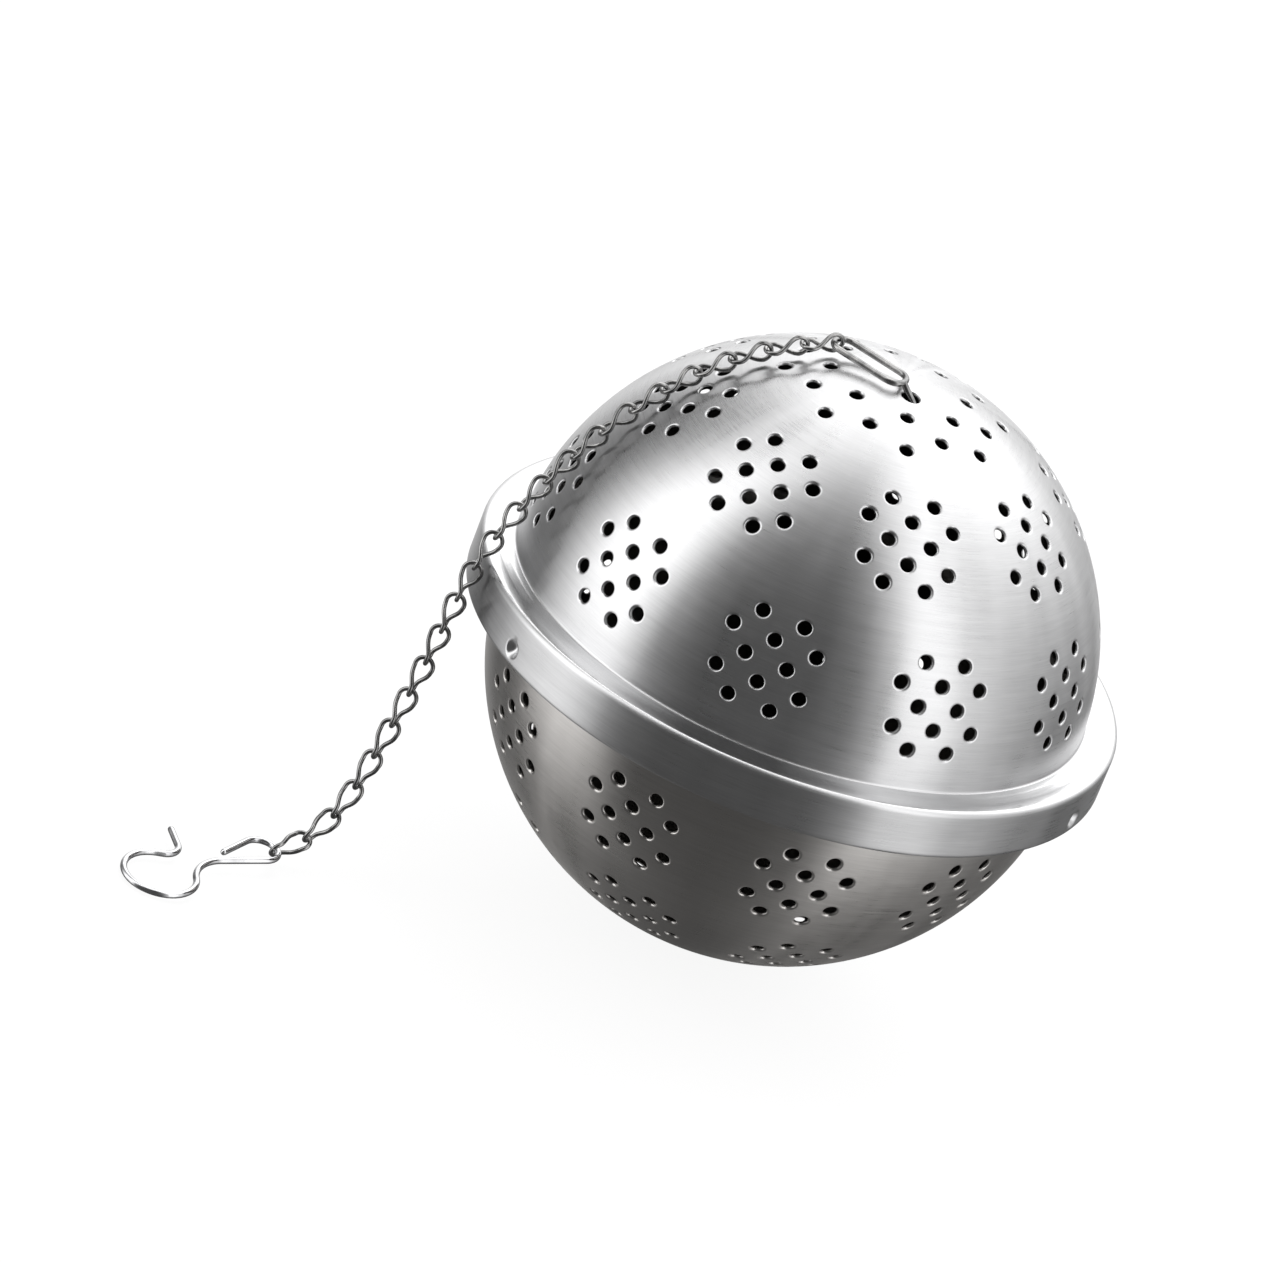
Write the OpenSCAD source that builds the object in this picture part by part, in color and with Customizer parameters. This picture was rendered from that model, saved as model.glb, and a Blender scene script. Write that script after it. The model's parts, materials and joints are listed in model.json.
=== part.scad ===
// Tea infuser ball: two perforated hemispheres closed by a bayonet collar, with a jack chain
// and a wire hook. The ball stands upright on the table, its axis along +Z, with the lowest
// point of the lower shell at the origin. +X is right, +Y is away from the front.
// The collar is stored unlocked: its dents stand over the notches of the lower shell's flange,
// so the upper shell lifts straight off.

/* [Shells] */
// Outer diameter of both domes
dome_d = 80.4; // [76:0.2:84]
// Thickness of the steel sheet
sheet = 0.5; // [0.4:0.05:0.7]
// Height from the lower dome's centre to the upper dome's centre
dome_gap = 5; // [4.5:0.25:6]

/* [Collar] */
// Outer diameter of the collar
collar_d = 90; // [88:0.5:92]
// Height of the collar's band, ledge included
collar_h = 6.9; // [6.5:0.1:7.2]
// Radius of the ledge's outer corner
corner_r = 0.8; // [0.6:0.1:1]
// Width of each bayonet notch
notch_w = 6.5; // [6:0.5:8]

/* [Perforation] */
// Diameter of a steeping hole
hole_d = 1.85; // [1.6:0.05:2]
// Angle between neighbouring holes of a cluster
hole_pitch = 5.9; // [5.5:0.1:6.2]
// Diameter of the hole that the anchor wire goes through
anchor_hole_d = 2.6; // [2.5:0.1:3]

/* [Chain] */
// Diameter of the chain's wire
link_wire = 0.6; // [0.5:0.05:0.65]
// Distance from one link's joint to the next
link_pitch = 4.9; // [4.85:0.05:4.95]
// Play between two wires that hang in each other
link_play = 0.16; // [0.1:0.02:0.2]

// Play between the chain's wire and the wire of the anchor or the hook
eye_play = 0.36; // [0.3:0.02:0.4]

/* [Hook] */
// Diameter of the wire of the hook and the anchor
hook_wire = 0.9; // [0.8:0.05:0.9]
// Radius of the hook's bend, to the middle of the wire
hook_r = 4.9; // [4.6:0.1:5.2]

/* [Hidden] */
$fn = 48;
dome_r = dome_d / 2;
collar_r = collar_d / 2;
low_centre = dome_r;                    // height of the lower dome's centre
up_centre = low_centre + dome_gap;      // height of the upper dome's centre
ledge_top = up_centre + 1.6;
ledge_in = dome_r - sheet - 0.4;        // the ledge's inner edge, just inside the dome's wall
band_foot = ledge_top - collar_h;
flange_gap = 0.3;                       // play between the flange and the collar
flange_top = ledge_top - sheet - flange_gap;
flange_r = collar_r - sheet - flange_gap;
lip_h = 2.2;                            // height of the flange's turned-down lip
dent_h = up_centre - 3.2;               // height of the bayonet dents
dent_d = 2.8;
dent_depth = 1;
dent_turns = [-140, -20, 100];
notch_in = dome_r + 1;                  // radius of the notches' inner side
drill = 4;                              // length of the cutters that pierce the sheet

// Hole clusters: [number around, latitude, azimuth of the first], measured from each dome's centre
upper_rows = [[10, 18.6, -131.3], [8, 48.1, -116.9]];
lower_rows = [[10, -17.4, -108.7], [8, -45, -105.5]];
// Rings of single holes about the pole: [angle from the pole, azimuth of the first]
pole_rings = [[13.7, -120.5], [19, -98.6], [22.3, -120.9]];
ring_count = 8;
// Azimuths between the holes, where each revolved sheet starts and ends
upper_seam = -3.2;
lower_seam = 52.6;

// Anchor: where its hole is and which way the wire eye lies
anchor_colat = 6.8;
anchor_turn = -66;
neck_lean = 50;                         // lean of the wire's neck in its hole
neck_len = 2.2;                         // neck on each side of the sheet
eye_rise = 1.4;                         // height of the eye over the middle of the sheet
eye_r = 1.8;                            // bends of the oval eye
curl_r = 1.7;                           // curl under the sheet

// Route of the chain's middle line over the dome, over the collar and down to the table
route = [
    [-9.2, 1.1, 86.3], [-13.2, -1.1, 85.2], [-18.4, -3.4, 82.9], [-24.3, -6.4, 79.0],
    [-29.0, -9.0, 74.3], [-33.0, -11.0, 68.9], [-36.2, -12.8, 63.4], [-38.8, -14.3, 58.3],
    [-40.9, -15.9, 53.1], [-42.5, -17.6, 48.2], [-43.4, -18.6, 43.5], [-43.9, -19.3, 38.0],
    [-44.6, -20.4, 30.5], [-45.5, -21.7, 23.2], [-46.5, -23.1, 16.6], [-47.5, -24.4, 11.3],
    [-48.9, -25.8, 7.1], [-51.0, -27.5, 4.0], [-53.4, -29.4, 2.3], [-56.0, -31.8, 1.7]
];
link_count = 22;
first_roll = 88;                        // turn of the first link about the chain
last_roll = 145;                        // turn of the last link: the chain twists evenly
hook_heading = 227;                     // way the hook lies from its eye
hook_fall = 0.063;                      // slope of the hook, down from its eye to its bend
hook_eye_r = 2.4;                       // far bend of the hook's eye
hook_start = [7.8, -1.4, 0];             // end of the wire, from the far end of its eye
hook_turn = 198;                        // heading of the wire as it leaves that end

// ---- vectors -------------------------------------------------------------------------
function unit(v) = v / norm(v);
function polar(colat, az) = [sin(colat) * cos(az), sin(colat) * sin(az), cos(colat)];
// A vector square to direction a, carried to direction b with no twist
function carry(u, a, b) = u - (u * b) / (1 + a * b) * (a + b);
// A matrix that puts local X along x and local Z along z, at point p
function placed(p, x, z) = let(y = cross(z, x))
    [[x[0], y[0], z[0], p[0]], [x[1], y[1], z[1], p[1]], [x[2], y[2], z[2], p[2]], [0, 0, 0, 1]];

// ---- chain route ---------------------------------------------------------------------
// Catmull-Rom curve through the route's points, with the given number of steps a span
function spline_at(a, b, c, d, t) =
    0.5 * (2 * b + (c - a) * t + (2 * a - 5 * b + 4 * c - d) * t * t
    + (3 * b - a - 3 * c + d) * t * t * t);
function smooth(pts, steps) = [
    for (i = [0:len(pts) - 2], k = [0:steps - 1])
        spline_at(pts[max(i - 1, 0)], pts[i], pts[i + 1], pts[min(i + 2, len(pts) - 1)], k / steps),
    pts[len(pts) - 1]];
// Where a line from a to b is the distance d from c: share of the way, beyond 1 if it isn't
function reach(c, a, b, d) =
    let(u = b - a, w = a - c, p = u * w, q = u * u, s = p * p - q * (w * w - d * d))
    s < 0 ? 2 : (-p + sqrt(s)) / q;
function march(c, line, i, n, d) = n == 0 || i > len(line) - 2 ? [c] :
    let(t = reach(c, line[i], line[i + 1], d))
    t >= 0 && t <= 1 ? concat([c], march(line[i] + t * (line[i + 1] - line[i]), line, i, n - 1, d))
    : march(c, line, i + 1, n, d);
joints = march(route[0], smooth(route, 4), 0, link_count, link_pitch);
aims = [for (i = [0:link_count - 1]) unit(joints[i + 1] - joints[i])];
// A direction square to each link, carried along the chain from straight up with no twist
function uprights(i) = i == 0 ? [unit([0, 0, 1] - aims[0][2] * aims[0])] :
    let(before = uprights(i - 1)) concat(before, [carry(before[i - 1], aims[i - 1], aims[i])]);
link_uprights = uprights(link_count - 1);
link_sides = [for (i = [0:link_count - 1])
    let(roll = first_roll + (last_roll - first_roll) * i / (link_count - 1))
    cos(roll) * link_uprights[i] + sin(roll) * cross(aims[i], link_uprights[i])];

// ---- anchor place --------------------------------------------------------------------
anchor_out = polar(anchor_colat, anchor_turn);
anchor_at = [0, 0, up_centre] + (dome_r - sheet / 2) * anchor_out;
eye_aim = unit(joints[0] - anchor_at - eye_rise * anchor_out);
anchor_side = unit(cross(anchor_out, eye_aim));
anchor_up = cross(eye_aim, anchor_side);

// ---- hook place ----------------------------------------------------------------------
hook_aim = unit([cos(hook_heading), sin(hook_heading), -hook_fall]);
hook_up = unit([0, 0, 1] - hook_aim[2] * hook_aim);
hook_eye_at = joints[link_count] - (hook_wire + eye_play) / 2 * hook_aim;

// ---- wire shapes ---------------------------------------------------------------------
module ring(r, wire) rotate_extrude() translate([r, 0]) circle(d = wire, $fn = 24);
module rod(length, wire) rotate([0, 90, 0]) cylinder(d = wire, h = length, $fn = 24);
module bend(r, angle, wire)
    rotate_extrude(angle = angle) translate([r, 0]) circle(d = wire, $fn = 24);

// A bent wire in the XY plane that starts at the origin along +X. Each step is
// [length] for a straight stretch or [radius, angle] for a bend, positive to the left.
// A ball just proud of the wire joins each step to the next.
knuckle = 0.02;
module bent_wire(steps, wire, i = 0) {
    sphere(d = wire + knuckle, $fn = 24);
    if (i < len(steps)) {
        s = steps[i];
        if (len(s) == 1) {
            rod(s[0], wire);
            translate([s[0], 0, 0]) bent_wire(steps, wire, i + 1);
        } else {
            side = sign(s[1]);
            mirror([0, side > 0 ? 0 : 1, 0])
                translate([0, s[0], 0]) rotate(-90) bend(s[0], abs(s[1]), wire);
            translate([s[0] * sin(abs(s[1])), side * s[0] * (1 - cos(s[1])), 0])
                rotate(s[1]) bent_wire(steps, wire, i + 1);
        }
    }
}

// ---- shells --------------------------------------------------------------------------
module cluster(az, lat) {
    rotate([0, 90 - lat, az])
        for (i = [-1.5:1:1.5], j = [-1.5:1:1.5])
            if (abs(i) + abs(j) < 3) {
                across = (i - j) * hole_pitch / sqrt(2);
                down = (i + j) * hole_pitch / sqrt(2);
                rotate(atan2(across, down)) rotate([0, norm([across, down]), 0]) steeping_hole();
            }
}

module steeping_hole() translate([0, 0, dome_r - drill / 2]) cylinder(d = hole_d, h = drill, $fn = 24);

module perforation(rows, pole) {
    for (row = rows, k = [0:row[0] - 1]) cluster(row[2] + k * 360 / row[0], row[1]);
    for (r = pole_rings, k = [0:ring_count - 1])
        rotate([0, pole > 0 ? r[0] : 180 - r[0], r[1] + k * 360 / ring_count]) steeping_hole();
}

// Half section of a flat-topped block with a round outer corner, from under the band to its top
module collar_block(r, top, corner) {
    translate([0, band_foot - 1]) square([r - corner, top - band_foot + 1]);
    translate([0, band_foot - 1]) square([r, top - corner - band_foot + 1]);
    translate([r - corner, top - corner]) circle(corner);
}

// Half outline of the upper shell: dome, ledge with a round corner, and band
module upper_outline() {
    intersection() {
        translate([0, up_centre]) difference() {
            circle(dome_r, $fn = 96);
            circle(dome_r - sheet, $fn = 96);
        }
        translate([0, ledge_top - sheet]) square([dome_r + 1, dome_r + 5]);
    }
    difference() {
        collar_block(collar_r, ledge_top, corner_r);
        collar_block(collar_r - sheet, ledge_top - sheet, corner_r - sheet);
        translate([0, band_foot - 1]) square([ledge_in, collar_h + 2]);
        translate([0, band_foot - 1]) square([collar_r + 1, 1]);
    }
}

// Half outline of a bowl that goes on above its widest point as a straight neck
module necked_bowl(r, top) {
    translate([0, low_centre]) intersection() {
        circle(r, $fn = 96);
        translate([0, -r - 1]) square(r + 1);
    }
    translate([0, low_centre]) square([r, top - low_centre]);
}

// Half outline of the lower shell: dome, neck, and flange with its turned-down lip
module lower_outline() {
    difference() {
        union() {
            necked_bowl(dome_r, flange_top);
            translate([0, flange_top - sheet]) square([flange_r, sheet]);
        }
        necked_bowl(dome_r - sheet, flange_top + 1);
    }
    translate([flange_r - sheet, flange_top - lip_h]) square([sheet, lip_h]);
}

// A bayonet dent: a round boss inside the band, hollowed from outside
module dent(d, out, depth) translate([collar_r - sheet - dent_depth + depth, 0, dent_h])
    rotate([0, 90, 0]) cylinder(d = d, h = out);

module upper_shell() {
    color("gainsboro") difference() {
        union() {
            rotate(upper_seam) rotate_extrude($fn = 96) upper_outline();
            for (a = dent_turns) rotate(a) dent(dent_d, dent_depth + sheet / 2, 0);
        }
        for (a = dent_turns) rotate(a) dent(dent_d - 2 * sheet, dent_depth + 2 * sheet, sheet);
        translate([0, 0, up_centre]) perforation(upper_rows, 1);
        translate([0, 0, up_centre]) rotate([0, anchor_colat, anchor_turn])
            translate([0, 0, dome_r - drill / 2]) cylinder(d = anchor_hole_d, h = drill);
    }
}

module lower_shell() {
    color("silver") difference() {
        rotate(lower_seam) rotate_extrude($fn = 96) lower_outline();
        for (a = dent_turns) rotate(a)
            translate([notch_in, -notch_w / 2, flange_top - lip_h - 1])
                cube([collar_r - notch_in, notch_w, lip_h + 2]);
        translate([0, 0, low_centre]) perforation(lower_rows, -1);
    }
}

// ---- chain ---------------------------------------------------------------------------
loop_gap = link_wire + link_play;       // middle of one wire to middle of the next
loop_reach = (link_pitch + loop_gap) / 2;
loop_clear = link_wire / 2 + 0.05;      // from the link's middle to the middle of a loop's wire
loop_r = (loop_reach - loop_clear) / 2;

// One figure-of-eight link: two round loops square to each other, joined at a short waist
module link(i) {
    middle = (joints[i] + joints[i + 1]) / 2;
    color("darkgray") multmatrix(placed(middle, aims[i], link_sides[i])) {
        translate([-loop_clear - loop_r, 0, 0]) ring(loop_r, link_wire);
        translate([loop_clear + loop_r, 0, 0]) rotate([90, 0, 0]) ring(loop_r, link_wire);
        translate([-loop_clear, 0, 0]) rod(2 * loop_clear, link_wire);
    }
}

// The eye that joins the chain to the dome. Its neck leans through the hole and ends in a
// curl under the sheet that is wider than the hole.
module anchor_eye() {
    foot = neck_len * sin(neck_lean);
    far = (joints[0] - anchor_at) * eye_aim + (hook_wire + eye_play) / 2;
    straight = far - foot - 2 * eye_r;
    color("darkgray") multmatrix(placed(anchor_at, eye_aim, anchor_up)) {
        translate([foot + eye_r, 0, (joints[0] - anchor_at) * anchor_up]) {
            rotate(90) bend(eye_r, 180, hook_wire);
            for (s = [-1, 1]) translate([0, s * eye_r, 0]) rod(straight, hook_wire);
            translate([straight, 0, 0]) rotate(-90) bend(eye_r, 180, hook_wire);
        }
        rotate([0, neck_lean, 0]) {
            translate([0, 0, -neck_len]) cylinder(d = hook_wire, h = 2 * neck_len, $fn = 24);
            translate([0, 0, -neck_len - curl_r]) rotate([0, 90, 0]) ring(curl_r, hook_wire);
        }
    }
}

// ---- hook ----------------------------------------------------------------------------
// Steps of the wire from the end of the eye, round the eye, through the reverse bend,
// round the open hook to its turned-out tip
hook_steps = [[5], [hook_eye_r, -210], [6.6], [5.5, 75], [hook_r, -271], [0.9], [2.2, 99], [3.7]];

module hook() {
    color("darkgray") multmatrix(placed(hook_eye_at, hook_aim, hook_up))
        translate(hook_start) rotate(hook_turn) bent_wire(hook_steps, hook_wire);
}

lower_shell();
upper_shell();
anchor_eye();
link(0);  // link_01
link(1);  // link_02
link(2);  // link_03
link(3);  // link_04
link(4);  // link_05
link(5);  // link_06
link(6);  // link_07
link(7);  // link_08
link(8);  // link_09
link(9);  // link_10
link(10);  // link_11
link(11);  // link_12
link(12);  // link_13
link(13);  // link_14
link(14);  // link_15
link(15);  // link_16
link(16);  // link_17
link(17);  // link_18
link(18);  // link_19
link(19);  // link_20
link(20);  // link_21
link(21);  // link_22
hook();
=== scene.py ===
import json
import math

import bpy
import numpy as np
from mathutils import Matrix, Vector
from mathutils.geometry import delaunay_2d_cdt


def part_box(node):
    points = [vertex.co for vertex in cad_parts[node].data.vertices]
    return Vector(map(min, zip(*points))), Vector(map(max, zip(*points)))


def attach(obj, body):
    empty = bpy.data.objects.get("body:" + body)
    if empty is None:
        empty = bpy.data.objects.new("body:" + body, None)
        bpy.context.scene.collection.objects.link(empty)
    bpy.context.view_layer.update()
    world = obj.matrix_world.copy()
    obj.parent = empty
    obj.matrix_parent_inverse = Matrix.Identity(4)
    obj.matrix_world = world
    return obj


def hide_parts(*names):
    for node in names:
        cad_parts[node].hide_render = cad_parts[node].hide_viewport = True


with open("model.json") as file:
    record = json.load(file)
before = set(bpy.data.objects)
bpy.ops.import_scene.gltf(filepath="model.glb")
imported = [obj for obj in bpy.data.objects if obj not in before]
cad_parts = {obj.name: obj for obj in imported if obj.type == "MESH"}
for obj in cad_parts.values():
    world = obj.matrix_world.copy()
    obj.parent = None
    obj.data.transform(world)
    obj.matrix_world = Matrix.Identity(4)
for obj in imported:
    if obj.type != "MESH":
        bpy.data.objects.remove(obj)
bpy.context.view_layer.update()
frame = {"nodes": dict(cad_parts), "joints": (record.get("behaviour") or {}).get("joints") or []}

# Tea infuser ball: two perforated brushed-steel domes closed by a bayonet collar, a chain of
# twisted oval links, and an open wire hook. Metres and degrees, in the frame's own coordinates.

# ---- sizes ---------------------------------------------------------------------------------
MM = 0.001
DEG = math.pi / 180

DOME_R = 40.2 * MM                      # outer radius of both domes
SHEET = 0.5 * MM                        # thickness of the steel
lower_low, lower_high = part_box("lower_shell")
upper_low, upper_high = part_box("upper_shell")
LOW_CENTRE = lower_low.z + DOME_R
UP_CENTRE = upper_high.z - DOME_R
COLLAR_R = upper_high.x
BAND_FOOT = upper_low.z
FLANGE_R = lower_high.x
FLANGE_TOP = lower_high.z
LEDGE_TOP = UP_CENTRE + 1.6 * MM
CORNER_R = 0.8 * MM                     # rounded edge between the ledge and the band
FILLET_R = 0.35 * MM                    # where the dome meets the ledge
DENT_Z = UP_CENTRE - 3.2 * MM           # the bayonet dents in the band
DENT_R = 1.4 * MM
DENT_DEPTH = 0.95 * MM
DENT_TURNS = (-140, -20, 100)
LIP_H = 2.2 * MM                        # the flange's turned-down lip, and the notches in both
NOTCH_R = DOME_R + 1 * MM
NOTCH_W = 6.5 * MM

HOLE_R = 0.925 * MM
ANCHOR_HOLE_R = 1.3 * MM
HOLE_PITCH = 5.9                        # degrees between neighbouring holes of a cluster
HOLE_SIDES = 24
# Hole clusters: number around, latitude, azimuth of the first
UPPER_ROWS = ((10, 18.6, -131.3), (8, 48.1, -116.9))
LOWER_ROWS = ((10, -17.4, -108.7), (8, -45, -105.5))
# Rings of single holes about the pole: angle from the pole, azimuth of the first
POLE_RINGS = ((13.7, -120.5), (19, -98.6), (22.3, -120.9))
RING_COUNT = 8
ANCHOR_COLAT = 6.8
ANCHOR_TURN = -66

CHAIN_WIRE = 0.6 * MM
LINK_LOOP_R = 1.24 * MM
LINK_CLEAR = 0.35 * MM                  # from a link's middle to each rounded end
LINK_PINCH = 0.12                       # how far a link's strands draw in at its middle
FIRST_ROLL, LAST_ROLL = 88, 145         # turn of the first and the last link about the chain
EYE_PLAY = 0.36 * MM
WIRE = 0.9 * MM                         # wire of the anchor and the hook


# ---- vectors -------------------------------------------------------------------------------
def unit(v):
    return v / np.linalg.norm(v)


def polar(colat, az):
    """Unit vector at an angle from the pole and an azimuth, in degrees."""
    c, a = colat * DEG, az * DEG
    return np.array([math.sin(c) * math.cos(a), math.sin(c) * math.sin(a), math.cos(c)])


def carry(u, a, b):
    """A vector square to direction a, carried to direction b with no twist."""
    return u - (u @ b) / (1 + a @ b) * (a + b)


def placed(points, at, x, z):
    """Local points in a frame at a point, with its X along x and its Z along z."""
    axes = np.array([x, np.cross(z, x), z])
    return np.asarray(points) @ axes + at


# ---- meshes --------------------------------------------------------------------------------
def mesh_object(name, verts, faces, normals=None, sharp=None):
    """A smooth-shaded mesh. normals holds exact vertex normals, zero where Blender works it out;
    sharp is the angle in degrees above which an edge stays sharp."""
    mesh = bpy.data.meshes.new(name)
    mesh.from_pydata([tuple(v) for v in verts], [], faces)
    mesh.validate()
    mesh.shade_smooth()
    if sharp:
        mesh.set_sharp_from_angle(angle=sharp * DEG)
    if normals is not None:
        mesh.normals_split_custom_set_from_vertices([tuple(n) for n in normals])
    obj = bpy.data.objects.new(name, mesh)
    bpy.context.scene.collection.objects.link(obj)
    return obj


OFF_AXIS = (0.31, 0.52, 0.79)           # a direction that no wire starts along


def sweep_rings(path, closed):
    """Two vectors square to a path at each point, turned as little as possible along it, and
    closed up evenly on a loop."""
    path = np.asarray(path)
    if closed:
        ahead = np.roll(path, -1, 0) - np.roll(path, 1, 0)
    else:
        ahead = np.gradient(path, axis=0)
    ahead /= np.linalg.norm(ahead, axis=1)[:, None]
    sides = [unit(np.cross(ahead[0], OFF_AXIS))]
    for before, after in zip(ahead, ahead[1:]):
        sides.append(unit(carry(sides[-1], before, after)))
    sides = np.array(sides)
    ups = np.cross(ahead, sides)
    if closed:
        last = unit(carry(sides[-1], ahead[-1], ahead[0]))
        twist = math.atan2(last @ ups[0], last @ sides[0])
        turn = (-twist * np.arange(len(path)) / len(path))[:, None]
        sides, ups = (np.cos(turn) * sides + np.sin(turn) * ups,
                      np.cos(turn) * ups - np.sin(turn) * sides)
    return sides, ups


CAP_ANGLES = np.array([30, 60, 82]) * DEG


def tube(path, radius, closed, sides=14):
    """Vertices and faces of a round wire along a path, with rounded ends if it is open."""
    path = np.asarray(path)
    radii = np.full(len(path), radius)
    if not closed:
        ahead = np.gradient(path, axis=0)
        ahead /= np.linalg.norm(ahead, axis=1)[:, None]
        start = [path[0] - ahead[0] * radius * math.sin(c) for c in CAP_ANGLES[::-1]]
        end = [path[-1] + ahead[-1] * radius * math.sin(c) for c in CAP_ANGLES]
        cap_radii = radius * np.cos(CAP_ANGLES)
        path = np.vstack([start, path, end])
        radii = np.concatenate([cap_radii[::-1], radii, cap_radii])
    side, up = sweep_rings(path, closed)
    turn = np.arange(sides) / sides * 2 * math.pi
    ring = (np.cos(turn)[None, :, None] * side[:, None] + np.sin(turn)[None, :, None] * up[:, None])
    verts = (path[:, None] + radii[:, None, None] * ring).reshape(-1, 3)
    count = len(path)
    faces = []
    for i in range(count if closed else count - 1):
        a, b = i * sides, (i + 1) % count * sides
        for k in range(sides):
            n = (k + 1) % sides
            faces.append((a + k, a + n, b + n, b + k))
    if not closed:
        faces.append(tuple(range(sides))[::-1])
        faces.append(tuple((count - 1) * sides + k for k in range(sides)))
    return verts, faces


def joined(parts):
    """Several (vertices, faces) as one."""
    verts, faces, base = [], [], 0
    for v, f in parts:
        verts.append(v)
        faces += [tuple(base + i for i in face) for face in f]
        base += len(v)
    return np.vstack(verts), faces


# ---- perforated domes ----------------------------------------------------------------------
def turned(v, colat, az):
    """v turned about Y by colat, then about Z by az, in degrees."""
    c, s = math.cos(colat * DEG), math.sin(colat * DEG)
    x, y, z = c * v[0] + s * v[2], v[1], c * v[2] - s * v[0]
    c, s = math.cos(az * DEG), math.sin(az * DEG)
    return np.array([c * x - s * y, s * x + c * y, z])


def cluster_holes(az, lat):
    """The 12 hole directions of a diamond cluster."""
    places = (-1.5, -0.5, 0.5, 1.5)
    for i in places:
        for j in places:
            if abs(i) + abs(j) < 3:
                across = (i - j) * HOLE_PITCH / math.sqrt(2)
                down = (i + j) * HOLE_PITCH / math.sqrt(2)
                tilt = math.hypot(across, down)
                turn = math.atan2(across, down) / DEG
                yield turned(polar(tilt, turn), 90 - lat, az)


def hole_directions(rows, up):
    holes = [d for count, lat, first in rows for k in range(count)
             for d in cluster_holes(first + k * 360 / count, lat)]
    for colat, first in POLE_RINGS:
        for k in range(RING_COUNT):
            holes.append(polar(colat if up else 180 - colat, first + k * 360 / RING_COUNT))
    return holes


# Distance from the hole's edge and depth under the outer surface, from the flat sheet round
# the hole, over its rolled edge, to the foot of its wall
RIM = ((0.195 * MM, 0.02 * MM), (0.11 * MM, 0.065 * MM), (0.045 * MM, 0.14 * MM), (0, 0.26 * MM))
GUARD = 0.4 * MM                        # from a hole's edge to the ring where the dome's mesh starts
FILL_GAP = 0.45 * MM                    # from that ring to the nearest points of the dome's mesh
FILL_STEP = 1.0 * MM                    # spacing of the dome's mesh
EDGE_GAP = 0.4                          # least room, in rows, between them and the dome's edge


def flat_map(directions):
    """Azimuthal equidistant map of directions about the pole, in radians."""
    d = np.asarray(directions)
    colat = np.arccos(np.clip(d[:, 2], -1, 1))
    flat = np.hypot(d[:, 0], d[:, 1])
    flat[flat == 0] = 1
    return d[:, :2] * (colat / flat)[:, None]


def circle_about(centre, angle, sides):
    """Directions at an angle in radians from a centre direction."""
    e1 = unit(np.cross(centre, [0.3, 0.2, 1.0] if abs(centre[2]) < 0.99 else [1.0, 0, 0]))
    e2 = np.cross(centre, e1)
    t = (np.arange(sides) / sides * 2 * math.pi)[:, None]
    return math.cos(angle) * centre + math.sin(angle) * (np.cos(t) * e1 + np.sin(t) * e2)


def dome_surface(holes, hole_radii, end_colat, turns):
    """Directions and triangles of a dome about +Z with a polygon left open at each hole.
    The first directions are the dome's edge, at the azimuths in turns; then each hole's ring."""
    edge = np.array([polar(end_colat, a) for a in turns])
    rings = [circle_about(h, (r + GUARD) / DOME_R, HOLE_SIDES) for h, r in zip(holes, hole_radii)]
    fill = [np.array([0, 0, 1.0])]
    step = FILL_STEP / DOME_R / DEG
    rows = int(end_colat / step - EDGE_GAP)
    centres = np.array(holes)
    reach = np.cos((np.array(hole_radii) + GUARD + FILL_GAP) / DOME_R)
    for k in range(1, rows + 1):
        colat = k * step
        around = max(6, round(360 * math.sin(colat * DEG) / step))
        for i in range(around):
            d = polar(colat, (i + 0.5 * (k % 2)) * 360 / around)
            if (centres @ d < reach).all():
                fill.append(d)
    directions = np.vstack([edge] + rings + [np.array(fill)])
    constraints = [(i, (i + 1) % len(edge)) for i in range(len(edge))]
    ring_of = np.full(len(directions), -1)
    base = len(edge)
    for n in range(len(rings)):
        for k in range(HOLE_SIDES):
            constraints.append((base + k, base + (k + 1) % HOLE_SIDES))
            ring_of[base + k] = n
        base += HOLE_SIDES
    flat = flat_map(directions)
    _, _, tris, source, _, _ = delaunay_2d_cdt(
        [Vector(p) for p in flat], constraints, [], 0, 1e-7)
    back = [s[0] for s in source]
    faces = []
    for t in tris:
        a, b, c = (back[i] for i in t)
        if ring_of[a] >= 0 and ring_of[a] == ring_of[b] == ring_of[c]:
            continue
        p, q, r = flat[a], flat[b], flat[c]
        turn = (q[0] - p[0]) * (r[1] - p[1]) - (q[1] - p[1]) * (r[0] - p[0])
        faces.append((a, b, c) if turn > 0 else (a, c, b))
    return directions, faces


SHARP_ANGLE = 50                        # edges of the shells that are sharper than this stay sharp


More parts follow.
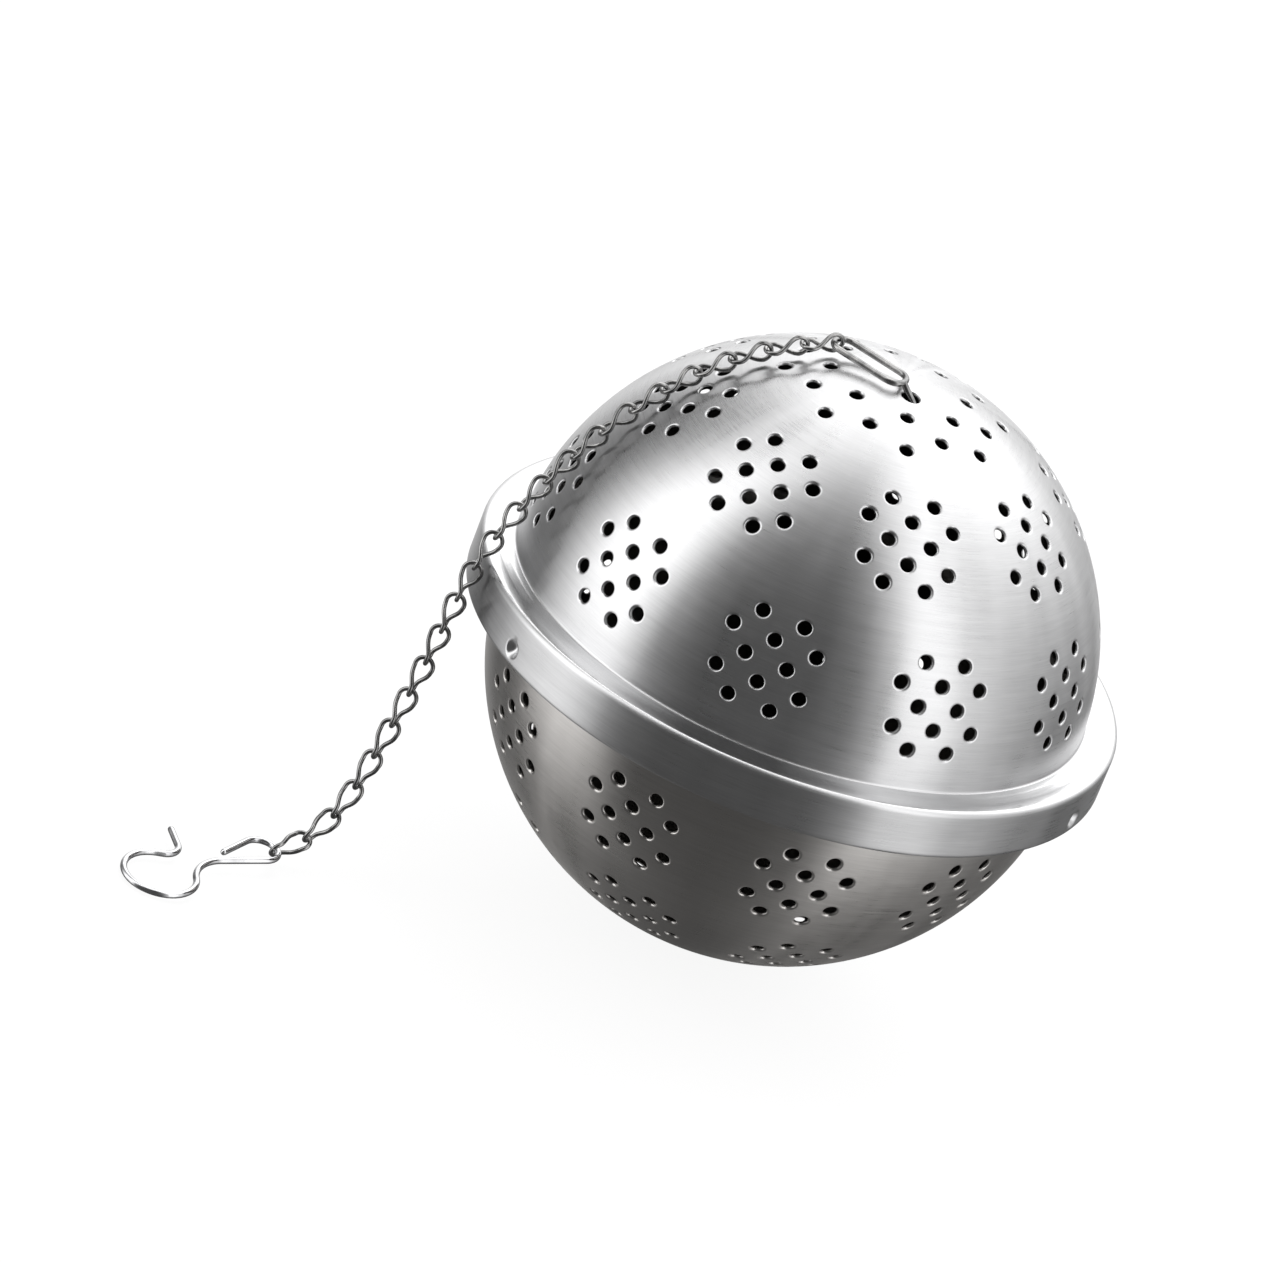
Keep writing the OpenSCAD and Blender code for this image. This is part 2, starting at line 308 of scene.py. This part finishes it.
def shell_mesh(name, holes, hole_radii, end_colat, turns, profile, up):
    """A perforated sheet dome whose edge goes on as a revolved profile, as one closed mesh.
    profile(az) gives the (radius, height) points from the dome's outer edge round to its inner
    edge, the same number at every azimuth, with heights towards the pole from the dome's centre.
    """
    directions, faces = dome_surface(holes, hole_radii, end_colat, turns)
    count = len(directions)
    verts = [directions * DOME_R, directions * (DOME_R - SHEET)]
    normals = [directions.copy(), -directions]
    tris = list(faces) + [(a + count, c + count, b + count) for a, b, c in faces]
    base = 2 * count
    edge = len(turns)

    # rolled edges and walls of the holes
    for n, (hole, radius) in enumerate(zip(holes, hole_radii)):
        guard = edge + n * HOLE_SIDES
        rows = [[guard + k for k in range(HOLE_SIDES)]]
        for out, depth in RIM + ((0, SHEET),):
            verts.append(circle_about(hole, (radius + out) / DOME_R, HOLE_SIDES) * (DOME_R - depth))
            normals.append(np.zeros((HOLE_SIDES, 3)))
            rows.append([base + k for k in range(HOLE_SIDES)])
            base += HOLE_SIDES
        rows.append([guard + count + k for k in range(HOLE_SIDES)])
        for one, other in zip(rows, rows[1:]):
            for k in range(HOLE_SIDES):
                m = (k + 1) % HOLE_SIDES
                tris.append((one[k], one[m], other[m], other[k]))

    # revolved profile
    cuts = [profile(a) for a in turns]
    c, s = np.cos(np.array(turns) * DEG), np.sin(np.array(turns) * DEG)
    rows = [list(range(edge))]
    for level in zip(*cuts):
        r = np.array([point[0] for point in level])
        z = np.array([point[1] for point in level])
        verts.append(np.c_[r * c, r * s, z])
        normals.append(np.zeros((edge, 3)))
        rows.append([base + k for k in range(edge)])
        base += edge
    rows.append([count + k for k in range(edge)])
    for one, other in zip(rows, rows[1:]):
        for k in range(edge):
            m = (k + 1) % edge
            tris.append((one[k], other[k], other[m], one[m]))

    verts, normals = np.vstack(verts), np.vstack(normals)
    normals[:edge] = 0
    normals[count:count + edge] = 0
    if up:
        verts[:, 2] += UP_CENTRE
    else:
        verts[:, 2] = LOW_CENTRE - verts[:, 2]
        normals[:, 2] *= -1
        tris = [t[::-1] for t in tris]
    return mesh_object(name, verts, tris, normals, sharp=SHARP_ANGLE)


def arc(centre_r, centre_z, radius, start, stop, steps):
    """(radius, height) points on an arc, from start to stop in degrees."""
    for k in range(steps + 1):
        a = (start + (stop - start) * k / steps) * DEG
        yield centre_r + radius * math.cos(a), centre_z + radius * math.sin(a)


def off_by(az, mark):
    """Degrees from a mark to an azimuth, -180 to 180."""
    return (az - mark + 180) % 360 - 180


def azimuths(count, marks, half_width, step):
    """Azimuths evenly round the circle, and closer together about each mark, in degrees."""
    turns = [360 * k / count - 180 for k in range(count)]
    for mark in marks:
        turns = [a for a in turns if abs(off_by(a, mark)) > half_width + step / 2]
        near = int(round(half_width / step))
        turns += [mark + k * step for k in range(-near, near + 1)]
    return sorted(off_by(a, 0) for a in turns)


# ---- upper shell ---------------------------------------------------------------------------
BAND_IN = COLLAR_R - SHEET
LEDGE = LEDGE_TOP - UP_CENTRE
FOOT = BAND_FOOT - UP_CENTRE
fillet_z = LEDGE + FILLET_R
fillet_r = math.sqrt(DOME_R ** 2 - fillet_z ** 2)
upper_end = math.acos(fillet_z / DOME_R) / DEG
LEDGE_MID = 42 * MM
inner_ledge_r = math.sqrt((DOME_R - SHEET) ** 2 - (LEDGE - SHEET) ** 2)
DENT = DENT_Z - UP_CENTRE
band_rows = np.concatenate([np.linspace(LEDGE - CORNER_R, DENT + DENT_R, 5)[:-1],
                            np.linspace(DENT + DENT_R, DENT - DENT_R, 19),
                            [FOOT + 0.55 * MM]])
# The band's foot, rolled inwards: millimetres out from the band and up from its foot
BEAD = ((-0.01, 0.42), (-0.04, 0.28), (-0.1, 0.15), (-0.19, 0.05), (-0.3, 0.0), (-0.42, 0.03),
        (-0.52, 0.12), (-0.57, 0.26), (-0.56, 0.4))
# The shallow channel pressed round the ledge: radius, and millimetres up from the ledge
GROOVE = ((41.2, 0), (41.35, -0.03), (41.6, -0.05), (42.6, -0.05), (42.85, -0.03), (43.0, 0))


def dent_push(az, z):
    """How far a bayonet dent pushes the band inwards at an azimuth and a height."""
    for turn in DENT_TURNS:
        d = math.hypot(off_by(az, turn) * DEG * COLLAR_R, z - DENT) / DENT_R
        if d < 1:
            return DENT_DEPTH * (1 - d * d) ** 1.5
    return 0


def collar_profile(az):
    points = list(arc(fillet_r + FILLET_R, fillet_z, FILLET_R, 180, 270, 5))[1:]
    points += [(r * MM, LEDGE + dz * MM) for r, dz in GROOVE]
    points += list(arc(COLLAR_R - CORNER_R, LEDGE - CORNER_R, CORNER_R, 90, 0, 8))[:-1]
    points += [(COLLAR_R - dent_push(az, z), z) for z in band_rows]
    points += [(COLLAR_R + dr * MM, FOOT + dz * MM) for dr, dz in BEAD]
    points += [(BAND_IN - dent_push(az, z), z) for z in band_rows[::-1]]
    points += list(arc(COLLAR_R - CORNER_R, LEDGE - CORNER_R, CORNER_R - SHEET, 0, 90, 4))[1:]
    points += [(LEDGE_MID, LEDGE - SHEET), (inner_ledge_r, LEDGE - SHEET)]
    return points


upper_holes = hole_directions(UPPER_ROWS, True) + [polar(ANCHOR_COLAT, ANCHOR_TURN)]
upper_radii = [HOLE_R] * (len(upper_holes) - 1) + [ANCHOR_HOLE_R]
ROUND = 480                             # cuts round a shell's edge
DENT_SPAN, DENT_STEP = 2.4, 0.2         # closer cuts about each dent
upper_turns = azimuths(ROUND, DENT_TURNS, DENT_SPAN, DENT_STEP)
upper = shell_mesh("upper_dome_and_collar", upper_holes, upper_radii, upper_end, upper_turns,
                   collar_profile, up=True)
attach(upper, "upper_shell")
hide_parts("upper_shell")

# ---- lower shell ---------------------------------------------------------------------------
NECK = LOW_CENTRE - FLANGE_TOP          # the flange's top, away from the lower pole
NOTCH_HALF = math.asin(NOTCH_W / 2 / (FLANGE_R + NOTCH_R) * 2) / DEG
NOTCH_EDGE = 0.02                       # degrees in which a notch's side wall is made
EDGE_R = 0.25 * MM                      # the flange's outer edge
BEND_R = 0.3 * MM                       # bends between the dome, the neck and the flange
PLAIN = 0.03 * MM                       # what is left of the lip and the edge in a notch
notch_marks = [t + side * (NOTCH_HALF + k * NOTCH_EDGE) for t in DENT_TURNS
               for side in (-1, 1) for k in (0, 1, 2)]
NOTCH_GAP = 0.2                         # degrees kept free of other cuts beside a notch's sides
lower_turns = [a for a in azimuths(ROUND, (), 0, 1)
               if all(abs(a - m) > NOTCH_GAP for m in notch_marks)]
lower_turns = sorted(lower_turns + notch_marks)


def notch_stage(az):
    """0 away from the notches, 1 where the lip has ended, 2 where the flange has too."""
    for turn in DENT_TURNS:
        past = (NOTCH_HALF + 2 * NOTCH_EDGE - abs(off_by(az, turn))) / NOTCH_EDGE
        if past > -0.5:
            return min(2, max(0, round(past)))
    return 0


def flange_profile(az):
    stage = notch_stage(az)
    r = NOTCH_R if stage == 2 else FLANGE_R
    lip = LIP_H - SHEET if stage == 0 else PLAIN
    edge = EDGE_R if stage == 0 else PLAIN / 3
    under = NECK + SHEET
    inner = DOME_R - SHEET
    points = [(DOME_R, z) for z in np.linspace(0, under + BEND_R, 6)[1:]]
    points += list(arc(DOME_R + BEND_R, under + BEND_R, BEND_R, 180, 270, 4))[1:]
    points += [(min(LEDGE_MID, r - 2 * BEND_R), under), (r - SHEET, under)]
    points += [(r - SHEET, under + lip * 0.5), (r - SHEET, under + lip)]
    points += [(r, under + lip), (r, under + lip * 0.4)]
    points += list(arc(r - edge, NECK + edge, edge, 0, -90, 4))
    points += [(DOME_R + BEND_R, NECK)]
    points += list(arc(inner + BEND_R, NECK + BEND_R, BEND_R, 270, 180, 4))
    points += [(inner, z) for z in np.linspace(NECK + BEND_R, 0, 6)[1:-1]]
    return points


lower_holes = [np.array([d[0], d[1], -d[2]]) for d in hole_directions(LOWER_ROWS, False)]
lower = shell_mesh("lower_dome_and_flange", lower_holes, [HOLE_R] * len(lower_holes), 90,
                   lower_turns, flange_profile, up=False)
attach(lower, "lower_shell")
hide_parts("lower_shell")

# ---- chain ---------------------------------------------------------------------------------
pivot = {j["child"]: np.array(j["pos_m"]) for j in frame["joints"] if "pos_m" in j}
links = sorted(n for n in frame["nodes"] if n.startswith("link_"))
chain = [pivot[n] for n in links] + [pivot["hook"]]
aims = [unit(b - a) for a, b in zip(chain, chain[1:])]
uprights = [unit(np.array([0, 0, 1]) - aims[0][2] * aims[0])]
for before, after in zip(aims, aims[1:]):
    uprights.append(carry(uprights[-1], before, after))


BEND_POINTS, STRAND_POINTS = 20, 14


def link_path():
    """An oval of wire with a quarter twist: one end lies in XY and the other in XZ, and the two
    strands between them turn about the link's middle line, drawn in a little."""
    reach = LINK_CLEAR + LINK_LOOP_R
    bends = np.linspace(90, 270, BEND_POINTS) * DEG
    flat = [(-reach + LINK_LOOP_R * math.cos(t), LINK_LOOP_R * math.sin(t), 0) for t in bends]
    tall = [(-x, 0, y) for x, y, _ in flat]
    out_strand, back_strand = [], []
    for t in np.linspace(0, 1, STRAND_POINTS)[1:-1]:
        turn = (3 * t * t - 2 * t ** 3) * 90 * DEG
        out = LINK_LOOP_R * (1 - LINK_PINCH * math.sin(180 * DEG * t))
        out_strand.append((reach * (2 * t - 1), -out * math.cos(turn), out * math.sin(turn)))
        back_strand.append((reach * (1 - 2 * t), out * math.sin(turn), -out * math.cos(turn)))
    return np.array(flat + out_strand + tall + back_strand)


def link_piece(i, name):
    roll = (FIRST_ROLL + (LAST_ROLL - FIRST_ROLL) * i / (len(links) - 1)) * DEG
    side = math.cos(roll) * uprights[i] + math.sin(roll) * np.cross(aims[i], uprights[i])
    path = placed(link_path(), (chain[i] + chain[i + 1]) / 2, aims[i], side)
    obj = mesh_object("chain_" + name, *tube(path, CHAIN_WIRE / 2, closed=True))
    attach(obj, name)
    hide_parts(name)
    return obj


chain_pieces = [link_piece(i, name) for i, name in enumerate(links)]


# ---- wire shapes ---------------------------------------------------------------------------
POINT_GAP = 0.2 * MM                    # spacing of the points on a bend; on a straight, thrice


def bent_wire(steps, start, heading):
    """Points of a wire bent in a plane. A step is (length,) for a straight stretch, or
    (radius, angle) for a bend, positive to the left."""
    at, turn = np.array(start, float), heading * DEG
    points = [at.copy()]
    for step in steps:
        if len(step) == 1:
            pieces = max(2, int(step[0] / POINT_GAP / 3))
            along = np.array([math.cos(turn), math.sin(turn)])
            points += [at + along * step[0] * k / pieces for k in range(1, pieces + 1)]
        else:
            radius, angle = step[0], step[1] * DEG
            hand = math.copysign(1, angle)
            centre = at + hand * radius * np.array([-math.sin(turn), math.cos(turn)])
            pieces = max(8, int(abs(angle) * radius / POINT_GAP))
            for k in range(1, pieces + 1):
                now = turn + angle * k / pieces
                points.append(centre + hand * radius * np.array([math.sin(now), -math.cos(now)]))
            turn += angle
        at = points[-1].copy()
    return np.array(points)


# ---- hook ----------------------------------------------------------------------------------
HOOK_STEPS = ((5 * MM,), (2.4 * MM, -210), (6.6 * MM,), (5.5 * MM, 75), (4.9 * MM, -271),
              (0.9 * MM,), (2.2 * MM, 99), (3.7 * MM,))
HOOK_START = (7.8 * MM, -1.4 * MM)      # end of the wire, from the far end of its eye
HOOK_TURN = 198                         # heading of the wire as it leaves that end
HOOK_HEADING = 227
HOOK_FALL = 0.063
hook_aim = unit(np.array([math.cos(HOOK_HEADING * DEG), math.sin(HOOK_HEADING * DEG), -HOOK_FALL]))
hook_up = unit(np.array([0, 0, 1]) - hook_aim[2] * hook_aim)
hook_eye = chain[-1] - (WIRE + EYE_PLAY) / 2 * hook_aim
hook_flat = bent_wire(HOOK_STEPS, HOOK_START, HOOK_TURN)
hook_path = placed(np.c_[hook_flat, np.zeros(len(hook_flat))], hook_eye, hook_aim, hook_up)
hook = mesh_object("pot_hook", *tube(hook_path, WIRE / 2, closed=False, sides=20))
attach(hook, "hook")
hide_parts("hook")

# ---- anchor --------------------------------------------------------------------------------
NECK_LEAN = 50 * DEG
NECK_LEN = 2.2 * MM
EYE_RISE = 1.4 * MM
EYE_R = 1.8 * MM
CURL_R = 1.7 * MM
anchor_out = polar(ANCHOR_COLAT, ANCHOR_TURN)
anchor_at = np.array([0, 0, UP_CENTRE]) + (DOME_R - SHEET / 2) * anchor_out
eye_aim = unit(chain[0] - anchor_at - EYE_RISE * anchor_out)
anchor_up = np.cross(eye_aim, unit(np.cross(anchor_out, eye_aim)))
eye_z = (chain[0] - anchor_at) @ anchor_up
eye_foot = NECK_LEN * math.sin(NECK_LEAN)
eye_far = (chain[0] - anchor_at) @ eye_aim + (WIRE + EYE_PLAY) / 2
eye_straight = eye_far - eye_foot - 2 * EYE_R
CURVE_STEP = 7.5                        # degrees between the points of the eye and the curl
CURL_TURN = 322.5                       # how far round the curl goes


def anchor_parts():
    """The oval eye, and the neck with the curl that keeps it from slipping out."""
    near, far = [], []
    for k in range(int(180 / CURVE_STEP) + 1):
        t = (90 + k * CURVE_STEP) * DEG
        near.append((eye_foot + EYE_R + EYE_R * math.cos(t), EYE_R * math.sin(t), eye_z))
        far.append((eye_foot + EYE_R + eye_straight - EYE_R * math.cos(t),
                    -EYE_R * math.sin(t), eye_z))
    eye = np.array(near + far)
    lean = np.array([math.sin(NECK_LEAN), 0, math.cos(NECK_LEAN)])
    neck = [lean * s for s in np.linspace(NECK_LEN, -NECK_LEN, 14)]
    curl = []
    for k in range(1, int(CURL_TURN / CURVE_STEP) + 1):
        t = k * CURVE_STEP * DEG
        curl.append(lean * (-NECK_LEN - CURL_R + CURL_R * math.cos(t))
                    + np.array([0, CURL_R * math.sin(t), 0]))
    for path, closed in ((eye, True), (np.array(neck + curl), False)):
        yield tube(placed(path, anchor_at, eye_aim, anchor_up), WIRE / 2, closed, 18)


anchor = mesh_object("anchor_wire_eye", *joined(anchor_parts()))
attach(anchor, "anchor_eye")
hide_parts("anchor_eye")


# ---- materials -----------------------------------------------------------------------------
INSIDE_SHADE = (0.07, 0.065, 0.06)             # painted shade: near-black colour on the inside of the ball, standing in for the shade inside it
INSIDE_ROUGH = 0.25                      # how much rougher the inside is
LEDGE_ROUGH = 0.45                      # roughness of the ledge, as a share of the dome's
BRUSHED_SPREAD = 0.18                   # how far the roughness varies either way
LINE_DEPTH = 0.03 * MM                  # depth of the brushed lines and of scratches on wire
# Brushed sheet: share of each grain in the tone
FINE_SHARE, BROAD_SHARE, RAY_SHARE, MOTTLE_SHARE = 0.35, 0.2, 0.3, 0.15


class Nodes:
    """Short calls for a material's or a world's node tree."""

    def __init__(self, tree):
        self.tree = tree
        tree.nodes.clear()

    def add(self, kind, inputs=(), **settings):
        node = self.tree.nodes.new(kind)
        for key, value in settings.items():
            setattr(node, key, value)
        for key, value in dict(inputs).items():
            if isinstance(value, bpy.types.NodeSocket):
                self.tree.links.new(value, node.inputs[key])
            else:
                node.inputs[key].default_value = value
        return node

    def math(self, operation, a, b=0.0, c=0.0):
        return self.add("ShaderNodeMath", {0: a, 1: b, 2: c}, operation=operation).outputs[0]

    def noise(self, vector, scale, detail=3.0, roughness=0.6):
        return self.add("ShaderNodeTexNoise", {"Vector": vector, "Scale": scale,
                        "Detail": detail, "Roughness": roughness}).outputs["Fac"]

    def ramp(self, value, low, high, to_low, to_high, smooth=False):
        kind = "SMOOTHSTEP" if smooth else "LINEAR"
        return self.add("ShaderNodeMapRange", {"Value": value, "From Min": low, "From Max": high,
                        "To Min": to_low, "To Max": to_high}, interpolation_type=kind).outputs[0]


def brushed_sheet(name, centre_z, up, dark, light, roughness, anisotropy):
    """Sheet steel spun and brushed in circles about the ball's axis."""
    mat = bpy.data.materials.new(name)
    mat.use_nodes = True
    n = Nodes(mat.node_tree)
    at = n.add("ShaderNodeSeparateXYZ", {0: n.add("ShaderNodeTexCoord").outputs["Object"]})
    x, y, z = at.outputs[0], at.outputs[1], at.outputs[2]
    radius = n.math("MAXIMUM", n.math("SQRT", n.math("ADD", n.math("MULTIPLY", x, x),
                    n.math("MULTIPLY", y, y))), 0.0001)
    height = n.math("SUBTRACT", z, centre_z)
    # distance across the brushing, growing from the pole to the rim
    across = n.math("SUBTRACT" if up else "ADD", height, radius)
    turn_x, turn_y = n.math("DIVIDE", x, radius), n.math("DIVIDE", y, radius)

    def grain(around, per_metre, detail, roughness):
        """Noise drawn out along the brushing: so many cells in a radian of turn, and so many
        in a metre across."""
        vector = n.add("ShaderNodeCombineXYZ", {0: n.math("MULTIPLY", turn_x, around),
                       1: n.math("MULTIPLY", turn_y, around),
                       2: n.math("MULTIPLY", across, per_metre)}).outputs[0]
        return n.noise(vector, 1.0, detail, roughness)

    fine = grain(7, 5200, 4.0, 0.65)
    broad = grain(2.2, 900, 3.0, 0.55)
    rays = grain(5.5, 18, 2.0, 0.5)
    mottle = n.noise(n.add("ShaderNodeTexCoord").outputs["Object"], 60.0, 2.0, 0.5)
    tone = n.math("ADD", n.math("MULTIPLY", fine, FINE_SHARE),
                  n.math("MULTIPLY", broad, BROAD_SHARE))
    tone = n.math("ADD", tone, n.math("ADD", n.math("MULTIPLY", rays, RAY_SHARE),
                  n.math("MULTIPLY", mottle, MOTTLE_SHARE)))
    color = n.add("ShaderNodeMix", {"Factor": n.ramp(tone, 0.32, 0.68, 0.0, 1.0),
                  6: (*dark, 1), 7: (*light, 1)}, data_type="RGBA").outputs[2]
    rough = n.ramp(n.math("ADD", fine, rays), 0.7, 1.3, roughness * (1 - BRUSHED_SPREAD),
                   roughness * (1 + BRUSHED_SPREAD))
    # the inside, from just under the outer surface down, is duller and is painted near black as
    # shade
    out = n.math("SQRT", n.math("ADD", n.math("MULTIPLY", radius, radius),
                 n.math("MULTIPLY", height, height)))
    inside = n.ramp(out, DOME_R - 0.45 * SHEET, DOME_R - 0.9 * SHEET, 0.0, 1.0)
    color = n.add("ShaderNodeMix", {"Factor": inside, 6: color, 7: (*INSIDE_SHADE, 1)},
                  data_type="RGBA").outputs[2]
    rough = n.math("ADD", rough, n.math("MULTIPLY", inside, INSIDE_ROUGH))
    # the pressed ledge is smoother than the spun domes
    level = n.add("ShaderNodeSeparateXYZ", {0: n.add("ShaderNodeNewGeometry").outputs["Normal"]})
    ledge = n.math("MULTIPLY", n.ramp(level.outputs[2], 0.8, 0.95, 0.0, 1.0),
                   n.ramp(radius, DOME_R, DOME_R + 0.4 * MM, 0.0, 1.0))
    rough = n.math("MULTIPLY", rough, n.ramp(ledge, 0.0, 1.0, 1.0, LEDGE_ROUGH))
    bump = n.add("ShaderNodeBump", {"Height": n.math("ADD", fine, n.math("MULTIPLY", broad, 0.5)),
                 "Strength": 0.16, "Distance": LINE_DEPTH})
    tangent = n.add("ShaderNodeTangent", direction_type="RADIAL", axis="Z")
    steel = n.add("ShaderNodeBsdfPrincipled", {
        "Base Color": color, "Metallic": 1.0, "Roughness": rough, "Anisotropic": anisotropy,
        "Anisotropic Rotation": 0.25, "Normal": bump.outputs[0], "Tangent": tangent.outputs[0]})
    n.add("ShaderNodeOutputMaterial", {"Surface": steel.outputs[0]})
    return mat


def drawn_wire(name, dark, light, roughness, grain):
    """Drawn and tumbled wire: polished, with small dull patches and fine scratches."""
    mat = bpy.data.materials.new(name)
    mat.use_nodes = True
    n = Nodes(mat.node_tree)
    at = n.add("ShaderNodeTexCoord").outputs["Object"]
    patches = n.noise(at, 420.0, 3.0, 0.6)
    scratches = n.noise(at, grain, 5.0, 0.7)
    color = n.add("ShaderNodeMix", {"Factor": n.ramp(patches, 0.35, 0.65, 0.0, 1.0),
                  6: (*dark, 1), 7: (*light, 1)}, data_type="RGBA").outputs[2]
    rough = n.ramp(n.math("ADD", patches, scratches), 0.75, 1.3, roughness * 0.6, roughness * 1.6)
    bump = n.add("ShaderNodeBump", {"Height": scratches, "Strength": 0.2,
                 "Distance": LINE_DEPTH})
    steel = n.add("ShaderNodeBsdfPrincipled", {
        "Base Color": color, "Metallic": 1.0, "Roughness": rough, "Normal": bump.outputs[0]})
    n.add("ShaderNodeOutputMaterial", {"Surface": steel.outputs[0]})
    return mat


upper.data.materials.append(brushed_sheet(
    "brushed_steel_upper", UP_CENTRE, True, (0.5, 0.5, 0.505), (0.7, 0.7, 0.705), 0.31, 0.9))
lower.data.materials.append(brushed_sheet(
    "brushed_steel_lower", LOW_CENTRE, False, (0.52, 0.503, 0.486), (0.7, 0.68, 0.66), 0.32, 0.88))
chain_steel = drawn_wire("drawn_chain_wire", (0.2, 0.2, 0.2), (0.4, 0.395, 0.39), 0.2, 3800.0)
for piece in chain_pieces + [anchor]:
    piece.data.materials.append(chain_steel)
hook.data.materials.append(
    drawn_wire("drawn_hook_wire", (0.5, 0.5, 0.51), (0.7, 0.7, 0.71), 0.13, 2600.0))


# ---- floor and studio light ----------------------------------------------------------------
FLOOR_GLOW, FLOOR_SHADE = 0.9, 0.14     # white of its own, and the part that takes shadows
FLOOR_SIZE = 12
FLOOR_DROP = 0.2 * MM                   # how far it lies below the ball


def pale_floor():
    """A white floor that the camera sees and the steel doesn't: the studio shows there."""
    bpy.ops.mesh.primitive_plane_add(size=FLOOR_SIZE, location=(0, 0, -FLOOR_DROP))
    floor = bpy.context.object
    floor.name = "studio_floor"
    floor.visible_glossy = False
    mat = bpy.data.materials.new("pale_floor")
    mat.use_nodes = True
    n = Nodes(mat.node_tree)
    glow = n.add("ShaderNodeEmission", {"Color": (1, 1, 1, 1), "Strength": FLOOR_GLOW})
    dull = n.add("ShaderNodeBsdfDiffuse", {"Color": (FLOOR_SHADE, FLOOR_SHADE, FLOOR_SHADE, 1)})
    both = n.add("ShaderNodeAddShader", {0: glow.outputs[0], 1: dull.outputs[0]})
    n.add("ShaderNodeOutputMaterial", {"Surface": both.outputs[0]})
    floor.data.materials.append(mat)


# The studio as the steel sees it. Walls: azimuth, starting behind the ball and going round by
# its left, and brightness there. A big soft light stands at the left, a narrow one at the right
# and in front, and a dark gap between them. The steel's spread mixes what lies above and below.
WALLS = ((110, 1.0), (119, 0.7), (128, 0.38), (140, 0.2), (154, 0.35), (164, 0.8), (172, 1.35),
         (182, 2.1), (204, 2.15), (211, 1.3), (221, 0.26), (232, 0.1), (280, 0.1), (296, 0.2),
         (309, 0.55), (318, 1.75), (331, 1.85), (346, 1.1), (372, 0.6), (396, 0.24), (425, 0.22),
         (446, 0.5))
ROOM_GREY = 0.1                         # nothing in the room is darker
FLOOR_LEVEL = 0.15                      # walls fade to this share towards the floor
FADE_FROM, FADE_TO = -0.9, 0.1          # heights, as sines of the elevation, of that fade
# A wide soft light hangs high up behind the ball, a little to the right, and fades outwards
OVERHEAD_AT = (0.25, 0.65, 0.717)
OVERHEAD = 2.6
OVERHEAD_EDGE = 0.2                     # cosine of the angle at which it has faded out
OVERHEAD_FALL = 4                       # power of that fade


def studio_world():
    """Light for the steel and the floor; the camera itself sees plain white behind them."""
    world = bpy.data.worlds.new("studio")
    bpy.context.scene.world = world
    world.use_nodes = True
    n = Nodes(world.node_tree)
    way = n.add("ShaderNodeSeparateXYZ", {0: n.add("ShaderNodeTexCoord").outputs["Generated"]})
    around = n.math("MULTIPLY", n.math("ARCTAN2", way.outputs[1], way.outputs[0]), 1 / DEG)
    first = WALLS[0][0]
    share = n.math("DIVIDE", n.math("WRAP", n.math("SUBTRACT", around, first), 360, 0), 360)
    ramp = n.add("ShaderNodeValToRGB", {0: share})
    ramp.color_ramp.interpolation = "EASE"
    stops = ramp.color_ramp.elements
    peak = max(level for _, level in WALLS)
    stops[0].position, stops[1].position = 0, 1
    for stop in (stops[0], stops[-1]):
        stop.color = (WALLS[0][1] / peak,) * 3 + (1,)
    for azimuth, level in WALLS[1:]:
        stops.new((azimuth - first) / 360).color = (level / peak,) * 3 + (1,)
    walls = n.math("MULTIPLY", ramp.outputs[0], peak)
    walls = n.math("MULTIPLY", walls, n.ramp(way.outputs[2], FADE_FROM, FADE_TO, FLOOR_LEVEL,
                   1.0, smooth=True))
    facing = n.add("ShaderNodeVectorMath", {0: n.add("ShaderNodeTexCoord").outputs["Generated"],
                   1: OVERHEAD_AT}, operation="DOT_PRODUCT").outputs["Value"]
    near = n.math("POWER", n.ramp(facing, OVERHEAD_EDGE, 1.0, 0.0, 1.0), OVERHEAD_FALL)
    total = n.math("ADD", n.math("MAXIMUM", walls, ROOM_GREY), n.math("MULTIPLY", near, OVERHEAD))
    seen = n.add("ShaderNodeLightPath").outputs["Is Camera Ray"]
    level = n.add("ShaderNodeMix", {"Factor": seen, 2: total, 3: 1.0}).outputs[0]
    sky = n.add("ShaderNodeBackground", {"Color": (1, 1, 1, 1), "Strength": level})
    n.add("ShaderNodeOutputWorld", {"Surface": sky.outputs[0]})


# ---- camera --------------------------------------------------------------------------------
def photo_camera():
    """A long lens, a little above the ball and rolled, with the ball right of the middle."""
    elevation, roll = 25.9 * DEG, 21.37 * DEG
    distance, aside, raised = 23.31 * DOME_R, 0.5545 * DOME_R, 0.0106 * DOME_R
    back = np.array([0, -math.cos(elevation), math.sin(elevation)])
    level, rise = np.array([1, 0, 0]), np.array([0, math.sin(elevation), math.cos(elevation)])
    right = math.cos(roll) * level + math.sin(roll) * rise
    up = math.cos(roll) * rise - math.sin(roll) * level
    at = np.array([0, 0, UP_CENTRE]) + distance * back - aside * right + raised * up
    camera = bpy.data.objects.new("camera", bpy.data.cameras.new("camera"))
    camera.data.lens = 200.6
    camera.data.sensor_width = 36
    camera.data.clip_start, camera.data.clip_end = 0.01, 100
    camera.matrix_world = Matrix([[right[i], up[i], back[i], at[i]] for i in range(3)]
                                 + [[0, 0, 0, 1]])
    bpy.context.scene.collection.objects.link(camera)
    bpy.context.scene.camera = camera


pale_floor()
studio_world()
photo_camera()
bpy.context.scene.view_settings.view_transform = "Standard"
